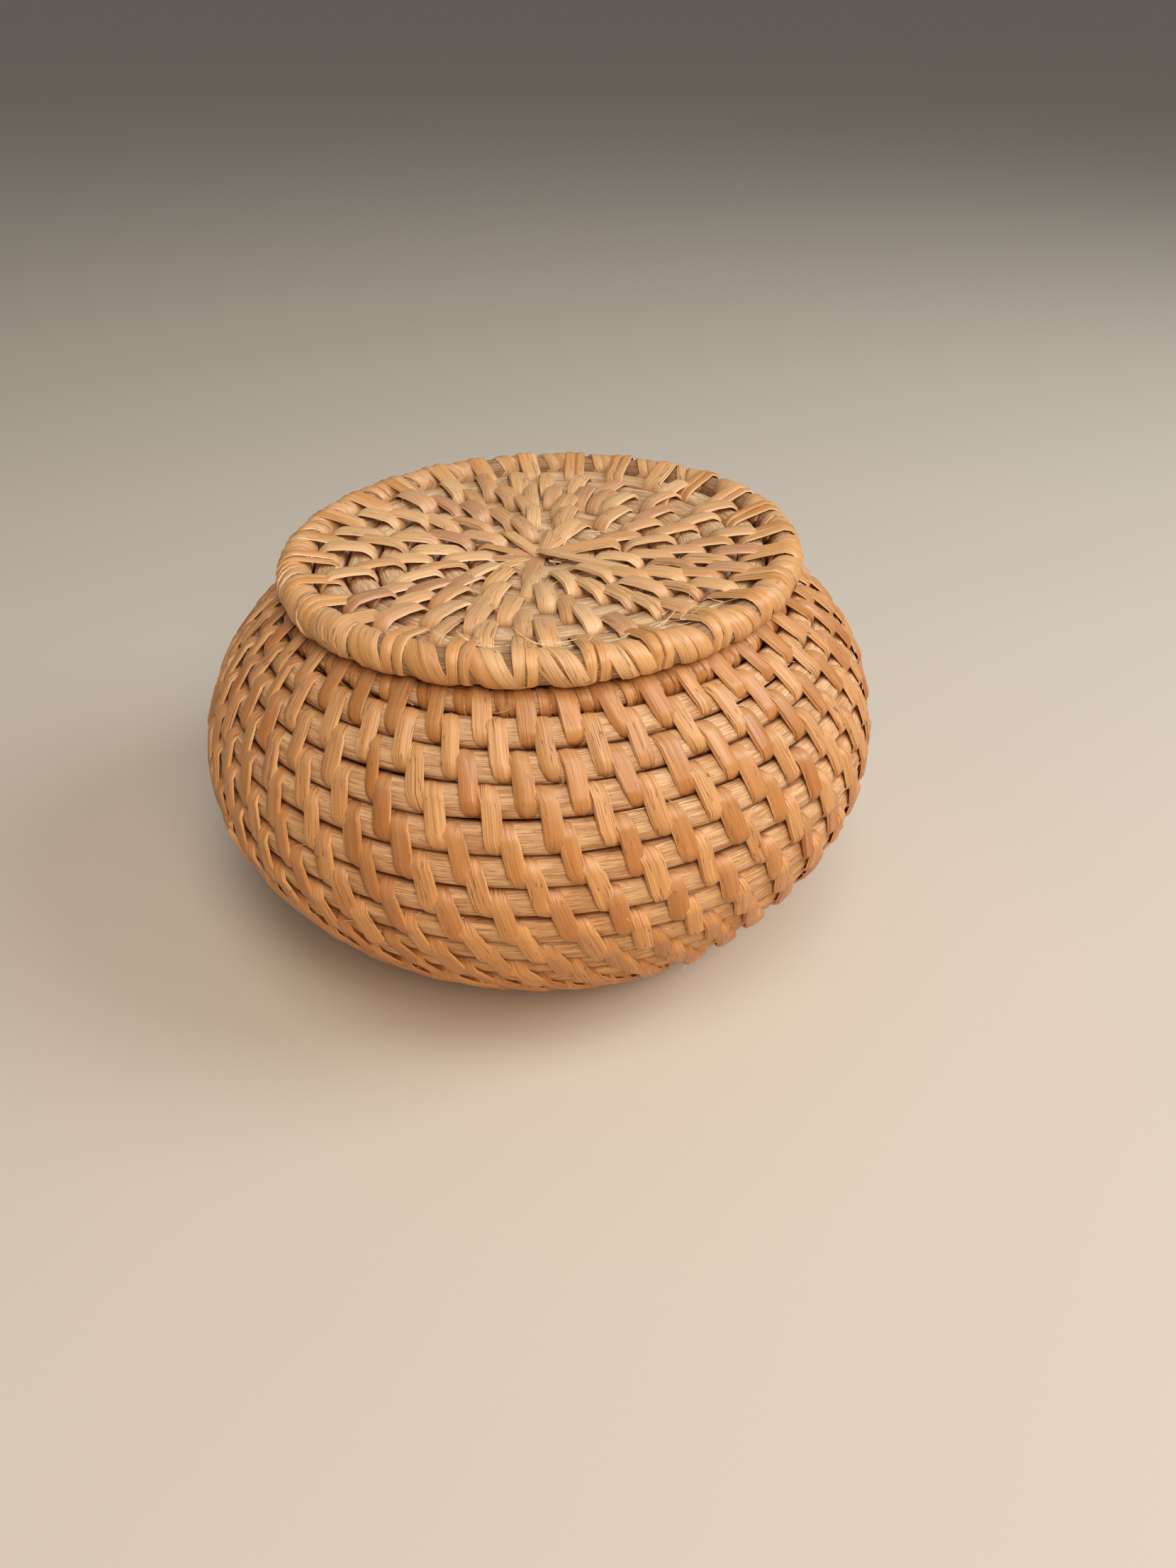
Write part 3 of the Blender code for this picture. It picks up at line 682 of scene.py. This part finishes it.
def torn_fibre(name):
    """Torn rattan fibre: bare, dry and almost white, without pattern at its 0.3 mm width."""
    material, tree, shader = new_material(name)
    fill(tree, shader, {"Base Color": linear("#EBCFA0"), "Roughness": 0.7, "IOR": 1.5})
    return material


BODY_TONES = ((0.0, "#B6793B"), (0.35, "#C08545"), (0.7, "#CA9155"), (1.0, "#B97940"))
LID_TONES = ((0.0, "#CE9560"), (0.3, "#DFA970"), (0.65, "#EBBC86"), (0.85, "#D0986A"),
             (1.0, "#C48A5F"))
RIM_TONES = ((0.0, "#D8985C"), (0.4, "#E0A566"), (0.7, "#D89B58"), (1.0, "#CE8D4E"))
# The body's cane gets a painted warm bounce light, a deeper orange towards the foot
body_cane = split_cane("split_cane_body", BODY_TONES, 0.85)
lid_cane = split_cane("split_cane_lid", LID_TONES)
rim_cane = split_cane("split_cane_rim", RIM_TONES)
BODY_PITH = ((0.28, "#BE9166"), (0.44, "#D8AC7F"), (0.58, "#E6C59D"), (0.75, "#D1A678"))
LID_PITH = ((0.28, "#B48960"), (0.44, "#CEA477"), (0.58, "#DFBB91"), (0.75, "#C99F71"))
# The body's rods get the same painted warm bounce light towards the foot
body_core = peeled_core("peeled_core_body", BODY_PITH, 0.8)
lid_core = peeled_core("peeled_core_lid", LID_PITH)
fibre = torn_fibre("torn_rattan_fibre")

# How a piece of cane is settled, its body, its material and its slot
BODY_CANE = (settle_body, "basket", body_cane, "split_cane")
LID_CANE = (settle_lid, "lid", lid_cane, "split_cane")
RIM_CANE = (settle_lid, "lid", rim_cane, "split_cane")

# Body

REST = 0.05                   # cane clear of the rod under it
WALL_STITCHES = 43.42         # stitches to a turn, so that columns lean from row to row
SHOULDER_STITCHES = 43.47     # and above SHOULDER_TURN
SHOULDER_TURN = 11.5
FULL_RADIUS = 64.0            # radius of a row from which it has all its stitches
FRONT_STITCH = 11.592         # turn at which a stitch of the front sits
STITCH_WIDTH = 5.45
MOST_FILLED = 0.62            # most of a row that its stitches may cover
STITCH_LEAN = 10.8            # lean of a stitch at the foot
LEAN_LOSS = 7.4               # how much less it is at the mouth
STITCH_DOME = 1.45            # height of a stitch's crown in thicknesses of cane
BODY_TALL = 4.4               # half height of the pressed rods, almost half the pitch
PLATE_TALL = 4.5
PRESSED = 2.65                # power of the body rods' pressed section, 2 is an ellipse
MOUTH_WRAPS = (0.42, 0.72)    # places of short wraps between two long stitches
TAIL_WRAPS = 14
BODY_GROUPS = (("base_stitches", -BASE_ROWS, 0.0), ("wall_stitches_lower", 0.0, 5.0),
               ("wall_stitches_middle", 5.0, 10.0),
               ("wall_stitches_upper", 10.0, WALL_ROWS - 1.0),
               ("rim_stitches", WALL_ROWS - 1.0, WALL_ROWS))


def pressed_height(turns):
    """Half height of the body's rods, which are round only in the mouth's rim."""
    return BODY_TALL + (ROD - BODY_TALL) * smooth((turns - WALL_ROWS + 1.3) / 0.4)


def put_body_rods():
    """Rods of base, wall and mouth, spliced end to end."""
    first = SPLICE_LAG / LOOP_BENDS
    last = WALL_ROWS - 2 + first
    bends = (last - first) / WALL_RODS * LOOP_BENDS
    splices = [first + round(k * bends) / LOOP_BENDS for k in range(WALL_RODS)] + [last]
    rods = [("base_rod", body_row, -BASE_ROWS, first, "base_core_rod", None)]
    rods += [(f"wall_rod_{k + 1}", body_row, splices[k], splices[k + 1],
              f"wall_core_rod_{k + 1}", None) for k in range(WALL_RODS)]
    rods.append(("rim_rod", rim_row, last, WALL_ROWS + TAIL_SHARE, "mouth_rim_rod", tail_size))
    for name, row, start, end, node, size in rods:
        put_rod(name, row, start, end, ROD, settle_body, "basket", body_core, "core_rattan",
                (node,), size=size, tall=pressed_height, square=PRESSED)


def stitches_per_turn(turns):
    """Stitches to a turn of the body, fewer in the base in proportion to its radius."""
    number = np.where(turns > SHOULDER_TURN, SHOULDER_STITCHES, WALL_STITCHES)
    return number * np.minimum(1.0, body_row(turns)[:, 0] / FULL_RADIUS)


def put_body_stitches():
    """Stitches of base, wall and mouth, each round its row and the one below."""
    turns = stitch_turns(-BASE_ROWS + 1.05, WALL_ROWS, stitches_per_turn, FRONT_STITCH)
    for name, low, high in BODY_GROUPS:
        chosen = turns[(turns >= low) & (turns < high)]
        count = len(chosen)
        radius = body_row(chosen)[:, 0]
        width = np.minimum(STITCH_WIDTH * (0.55 + 0.45 * radius / 96.0)
                           + draw.normal(0.0, 0.42, count),
                           radius * TURN / stitches_per_turn(chosen) * MOST_FILLED)
        up_wall = np.clip(chosen / WALL_ROWS, 0.0, 1.0)
        lean = STITCH_LEAN - LEAN_LOSS * up_wall ** 0.85 + draw.normal(0.0, 0.8, count)
        lean = np.minimum(lean, radius * 0.2)
        loop = belt(body_row(chosen), body_row(chosen - 1.0), ROD + REST, ROD + REST,
                    draw.uniform(0.35, 0.8, count), (name == "rim_stitches", False))
        azimuth = STEP_ANGLE + TURN * chosen + draw.normal(0.0, 0.42, count) / radius
        # The strip is turned over after each loop, but for some stitches
        turned = (np.floor(chosen) % 2 == 1) != (draw.random(count) < 0.12)
        coarse = np.where(turned, draw.uniform(0.6, 1.0, count), draw.uniform(0.0, 0.3, count))
        put_bands(name, loop, azimuth, width, lean, climb_at(body_row, chosen), *BODY_CANE,
                  dome=STITCH_DOME, coarse=coarse)
    put_mouth_wraps(turns[turns >= WALL_ROWS - 1.0])
    put_base_eye()


def put_mouth_wraps(long_turns):
    """Short wraps of the mouth rim: two between each pair of long stitches.

    Wraps side by side bind the rod's tail to the row below it.
    """
    turns = np.concatenate([long_turns + place / WALL_STITCHES for place in MOUTH_WRAPS])
    turns = np.sort(turns[turns < WALL_ROWS])
    count = len(turns)
    loop = turn_round(body_row(turns), ROD + REST, 12, math.radians(150.0))
    put_bands("mouth_wraps", loop, STEP_ANGLE + TURN * turns, draw.uniform(2.7, 3.2, count),
              draw.normal(3.0, 0.3, count), climb_at(body_row, turns), *BODY_CANE,
              ("mouth_rim_lashing",))
    count = TAIL_WRAPS
    turns = WALL_ROWS + TAIL_SHARE * (np.arange(count) + 0.3) / count
    loop = belt(rim_row(turns), body_row(turns - 1.0), ROD * tail_size(turns) + REST,
                ROD + REST, draw.uniform(0.1, 0.3, count), (True, False))
    put_bands("tail_wraps", loop, STEP_ANGLE + TURN * turns, draw.uniform(3.0, 3.4, count),
              draw.normal(1.5, 0.3, count), climb_at(body_row, turns - 1.0), *BODY_CANE)


def put_base_eye():
    """Bands from the middle of the base over the first loop of its rod."""
    count = 8
    turns = -BASE_ROWS + (np.arange(count) + 0.4) / count
    second = body_row(turns)
    first = second * (0.0, 1.0) + (1.3, 0.0)
    loop = belt(first, second, 0.9, ROD + REST, 0.2)
    put_bands("base_eye_stitches", loop, STEP_ANGLE + TURN * turns, np.full(count, 3.6),
              draw.normal(0.3, 0.2, count), np.zeros((count, 2)), *BODY_CANE,
              ("base_centre_knot",))


# Lid

PLATE_STITCHES = (11, 16, 20, 23, 24)  # in each loop of the plate, from inside
INNER_STITCHES = 8            # in the loop inside them
FIRST_STITCH = -38.0          # one of those, in degrees right of the front
BESIDE = 4.3                  # from a stitch to the next loop's stitch beside it
PLATE_TAIL = 0.21             # turn at which the plate's rod has thinned out by the hoop
BUTT = 0.0005                 # share of a turn between a hoop's end and its butt joint
EYE_LEVEL = plate_row(-PLATE_ROWS)[1]


def grown(angles, count):
    """Angles of the next loop's stitches: one for each stitch, and one in the widest gaps.

    Each then moves 0.3 of the way to the middle between its neighbours.
    """
    following = np.append(angles[1:], angles[0] + TURN)
    gaps = np.argsort(angles - following, kind="stable")[:count - len(angles)]
    angles = np.sort(np.concatenate((angles, 0.5 * (angles[gaps] + following[gaps]))))
    before, after = np.roll(angles, 1), np.roll(angles, -1)
    before[0] -= TURN
    after[-1] += TURN
    return 0.7 * angles + 0.15 * (before + after)


def put_lid_rods():
    """Rods of the lid: the plate's spiral, the curl it starts from, and two hoops."""
    place = ("lid", lid_core, "core_rattan")
    put_rod("lid_rod", plate_tail_row, -PLATE_ROWS, PLATE_TAIL, LID_ROD, settle_lid, *place,
            ("lid_core_rod",), size=plate_tail_size, tall=lambda turns: PLATE_TALL)
    # The lid's hoop and the curl are darkened evenly with grime and painted shade
    for name, ring, rod, grime_and_shade, nodes in (
            ("lid_hoop", LID_HOOP, HOOP_ROD, 0.55, ("lid_rim_hoop",)),
            ("locating_hoop", LOCATING_HOOP, LID_ROD, 0.0, ("lid_locating_hoop",)),
            ("lid_rod_curl", (2.4, EYE_LEVEL - 0.5), 2.3, 0.3, ())):
        def row(turns, ring=ring):
            return np.broadcast_to(np.array(ring), np.shape(turns) + (2,))
        put_rod(name, row, BUTT, 1.0 - BUTT, rod, settle_lid, *place, nodes, grime_and_shade=grime_and_shade)


def put_plate_stitches():
    """Stitches of the lid's plate, each round its row and the one outside it."""
    start = math.radians(FIRST_STITCH - 90.0)
    angles = start + TURN * np.arange(INNER_STITCHES) / INNER_STITCHES
    turns = []
    for k, count in enumerate(PLATE_STITCHES):
        loop = k - len(PLATE_STITCHES)
        angles = grown(angles, count) + BESIDE / plate_row(loop)[0]
        turns.append(loop + np.mod((angles - STEP_ANGLE) / TURN, 1.0))
    turns = np.sort(np.concatenate(turns))
    turns = turns[turns > -PLATE_ROWS + 1.0]
    count = len(turns)
    first, second = plate_row(turns - 1.0), plate_row(turns)
    radius = second[:, 0]
    width = np.minimum(draw.normal(5.3, 0.5, count), radius * 0.3)
    lean = np.minimum(draw.normal(1.0, 1.6, count), radius * 0.15)
    loop = belt(first, second, LID_ROD + REST, LID_ROD + REST, draw.uniform(1.2, 2.2, count))
    azimuth = STEP_ANGLE + TURN * turns + draw.normal(0.0, 0.7, count) / radius
    put_bands("plate_stitches", loop, azimuth, width, lean, climb_at(plate_row, turns),
              *LID_CANE, dome=1.4)


# Strips from the lid's knot: direction in degrees from +X, width, radius to which they
# reach, arch and lean. The last one lies over two loops.
EYE_STRIPS = ((-97.0, 5.0, 13.0, 1.2, 0.4), (55.0, 4.0, 13.0, 1.6, 0.3),
              (78.0, 3.6, 13.0, 1.4, 0.3), (8.0, 5.6, 13.0, 1.8, 0.2),
              (128.0, 4.2, 14.0, 1.8, 0.4), (163.0, 3.0, 9.0, 0.8, 0.2),
              (196.0, 3.2, 13.0, 1.0, 0.2), (226.0, 3.2, 9.0, 0.8, 0.2),
              (-35.0, 4.4, 26.0, 1.3, 4.0))


def put_lid_eye():
    """Strips from the lid's knot to the rods round it, each to the loop nearest its reach."""
    direction, width, away, arch, lean = np.array(EYE_STRIPS).T
    part = np.mod((np.radians(direction) - STEP_ANGLE) / TURN, 1.0)
    loops = part - np.arange(1, 7)[:, None]
    miss = np.abs(plate_row(np.maximum(loops, 0.04 - PLATE_ROWS))[..., 0] - away)
    miss = np.where(loops < 0.04 - PLATE_ROWS, np.inf, miss)
    turns = np.take_along_axis(loops, np.argmin(miss, axis=0)[None], axis=0)[0]
    count = len(turns)
    is_long = away > 20.0
    first = np.stack((np.where(is_long, 2.6, 1.4), np.full(count, EYE_LEVEL)), axis=-1)
    loop = belt(first, plate_row(turns), np.where(is_long, LID_ROD + 0.4, 1.2),
                LID_ROD + REST, arch)
    put_bands("lid_eye_strips", loop, np.radians(direction), width, lean,
              np.zeros((count, 2)), *LID_CANE, ("lid_centre_knot",))


def put_rod_end():
    """The frayed end of the lid's rod, to the right of the knot."""
    count = 16
    around = math.radians(-40.0) + draw.normal(0.0, 0.22, count)
    away = 5.2 + draw.normal(0.0, 1.0, count)
    level = np.full(count, EYE_LEVEL + LID_ROD - 0.3)
    starts = np.stack((away * np.cos(around), away * np.sin(around), level), axis=-1)
    ways = np.stack((np.cos(around + 0.5), np.sin(around + 0.5), 0.0 * around), axis=-1)
    put_hairs("rod_end_fibres", starts, ways + draw.normal(0.0, 0.4, (count, 3)) * (1, 1, 0.1),
              np.broadcast_to((0.0, 0.0, 1.0), (count, 3)), (2.0, 4.5), (0.16, 0.3),
              settle_lid, "lid", fibre, "core_rattan")


def put_hairs(name, starts, ways, outs, lengths, radii, settle, *place):
    """Torn fibres: thin three-sided tubes that curl off the surface.

    Middle line = start + length (s way + curl s^2 out + swing s^2 across), radius = first
    (1 - 0.6 s), with s from 0 to 1.
    """
    count, sides = len(starts), 3
    s = np.linspace(0.0, 1.0, 6)[:, None]
    ways = unit(ways)
    across = unit(np.cross(ways, outs))
    outs = np.cross(across, ways)
    starts, ways, outs, across = (each[:, None] for each in (starts, ways, outs, across))
    shape = (count, 1, 1)
    length, curl = draw.uniform(*lengths, shape), draw.uniform(0.02, 0.4, shape)
    swing = draw.normal(0.0, 0.25, shape)
    line = starts + length * (s * ways + curl * s ** 2 * outs + swing * s ** 2 * across)
    radius = (draw.uniform(*radii, shape) * (1.0 - 0.6 * s))[..., None]
    angle = TURN * np.arange(sides)[:, None] / sides
    ring = np.cos(angle) * outs[:, None] + np.sin(angle) * across[:, None]
    coords = np.zeros((count, len(s) + 1, sides + 1, 2))
    put_grid(name, settle(line[:, :, None] + radius * ring), coords, False, {}, *place)


def put_loose_fibres(name, row, turns, rod, settle, body, side, lengths):
    """Fibres torn from the strips' ends, which leave the valleys between the rows.

    side is 1 where the outside lies right of the way from a row to the next, else -1.
    """
    count = len(turns)
    first, second = row(turns), row(turns - 1.0)
    apart = unit(first - second)
    away = side * np.stack((apart[:, 1], -apart[:, 0]), axis=-1)
    spot = 0.5 * (first + second) + away * (rod * draw.uniform(0.75, 1.15, count))[:, None]
    starts, outs, down = (in_space(pair, outward_at(turns)) for pair in (spot, away, -apart))
    along = outward_at(turns + 0.25)
    ways = along * draw.choice((-1.0, 1.0), count)[:, None] + down * draw.normal(
        0.0, 0.5, count)[:, None] + outs * draw.uniform(0.0, 0.3, count)[:, None]
    put_hairs(name, starts, ways, outs, lengths, (0.08, 0.16), settle, body, fibre,
              "split_cane")


LONG_WRAPS = 27               # double bands over hoop and outermost row
LONG_FRONT = -1.4             # direction of one of them, in degrees right of the front
STRAND = 3.25                 # width of one strip of a double band
SHORT_START = 3.85            # from the middle of a double band to the first short wrap
SHORT_WIDTH = {2: 4.9, 3: 3.5}  # width of the short wraps, by their number in a gap
LASHING_RADIUS = 74.0         # where these widths are measured


def put_lid_lashing():
    """Lid rim: long double bands over hoop and plate, with short wraps between them."""
    starts = (TURN / LONG_WRAPS * np.arange(LONG_WRAPS) + math.radians(LONG_FRONT - 90.0)
              + draw.normal(0.0, 0.006, LONG_WRAPS))
    half = 0.5 * STRAND / LASHING_RADIUS
    pairs = np.concatenate((starts - half, starts + half))
    count = len(pairs)
    hoop, plate = (np.tile(ring, (count, 1)) for ring in (LID_HOOP, LID_PLATE))
    loop = belt(plate, hoop, LID_ROD + REST, HOOP_ROD + REST, draw.uniform(0.4, 1.1, count),
                (False, True))
    put_bands("rim_long_bands", loop, pairs, draw.normal(STRAND, 0.12, count),
              np.tile(draw.normal(2.6, 0.3, LONG_WRAPS), 2), np.zeros((count, 2)), *RIM_CANE,
              ("lid_rim_lashing",))
    wraps = []
    for start in starts:
        # At the front more gaps have two wide wraps, and elsewhere three narrow ones
        number = 2 if draw.random() < 0.15 + 0.6 * max(-math.sin(start), 0.0) else 3
        width = SHORT_WIDTH[number]
        wraps += [(start + (SHORT_START + (k + 0.5) * width) / LASHING_RADIUS, width + 0.2)
                  for k in range(number)]
    places, widths = np.array(wraps).T
    count = len(wraps)
    loop = turn_round(np.tile(LID_HOOP, (count, 1)), HOOP_ROD + REST, 14,
                      math.radians(160.0))
    put_bands("rim_short_wraps", loop, places, widths, draw.normal(9.6, 0.7, count),
              np.zeros((count, 2)), *RIM_CANE)


put_body_rods()
put_body_stitches()
put_lid_rods()
put_plate_stitches()
put_lid_eye()
put_rod_end()
put_lid_lashing()
put_loose_fibres("body_fibres", body_row, draw.uniform(0.3, WALL_ROWS - 0.3, 150), ROD,
                 settle_body, "basket", 1.0, (1.5, 6.5))
put_loose_fibres("lid_fibres", plate_row, draw.uniform(2.0 - PLATE_ROWS, -0.2, 60), LID_ROD,
                 settle_lid, "lid", -1.0, (1.5, 7.0))
put_loose_fibres("rim_fibres", plate_and_hoop, draw.uniform(0.5, 0.72, 40), HOOP_ROD, settle_lid,
                 "lid", -1.0, (3.0, 9.0))

# Stage


def put_stage():
    """Pale floor, soft light from above and in front, and the camera."""
    scene = bpy.context.scene
    bpy.ops.mesh.primitive_plane_add(size=100.0)
    floor = bpy.context.object
    floor.name = "floor"
    material, tree, shader = new_material("pale_matt_floor")
    fill(tree, shader, {"Base Color": linear("#D2C5B2"), "Roughness": 0.85})
    floor.data.materials.append(material)
    lights = (("window", (1.1, -0.1, 0.9), 0.8, 13.0, "#DDE8F6"),
              ("ceiling", (0.1, -0.5, 1.4), 0.7, 7.2, "#F2F4F8"),
              ("front", (0.35, -1.0, 1.0), 0.7, 9.8, "#FFECD4"))
    for name, spot, size, power, colour in lights:
        data = bpy.data.lights.new(name, "AREA")
        data.shape, data.size, data.energy = "DISK", size, power
        data.color = linear(colour)[:3]
        light = bpy.data.objects.new(name, data)
        light.location = spot
        aim = np.array((0.0, 0.0, 0.06)) - np.array(spot)
        light.rotation_euler = (math.atan2(math.hypot(aim[0], aim[1]), -aim[2]), 0.0,
                                math.atan2(aim[1], aim[0]) - math.pi / 2)
        scene.collection.objects.link(light)
    world = bpy.data.worlds.new("soft_room")
    world.use_nodes = True
    background = world.node_tree.nodes["Background"].inputs
    background["Color"].default_value = linear("#F1F3F5")
    background["Strength"].default_value = 0.2
    scene.world = world
    scene.view_settings.view_transform = "Standard"
    # The camera of the photo, from a fit to the outlines of body and lid
    camera = bpy.data.objects.new("camera", bpy.data.cameras.new("camera"))
    camera.data.sensor_fit = "VERTICAL"
    camera.data.sensor_height = 36.0
    camera.data.lens = 26.54
    camera.location = (0.0147, -0.3113, 0.2454)
    camera.rotation_euler = (math.radians(55.39), 0.0, 0.0)
    scene.collection.objects.link(camera)
    scene.camera = camera


put_stage()
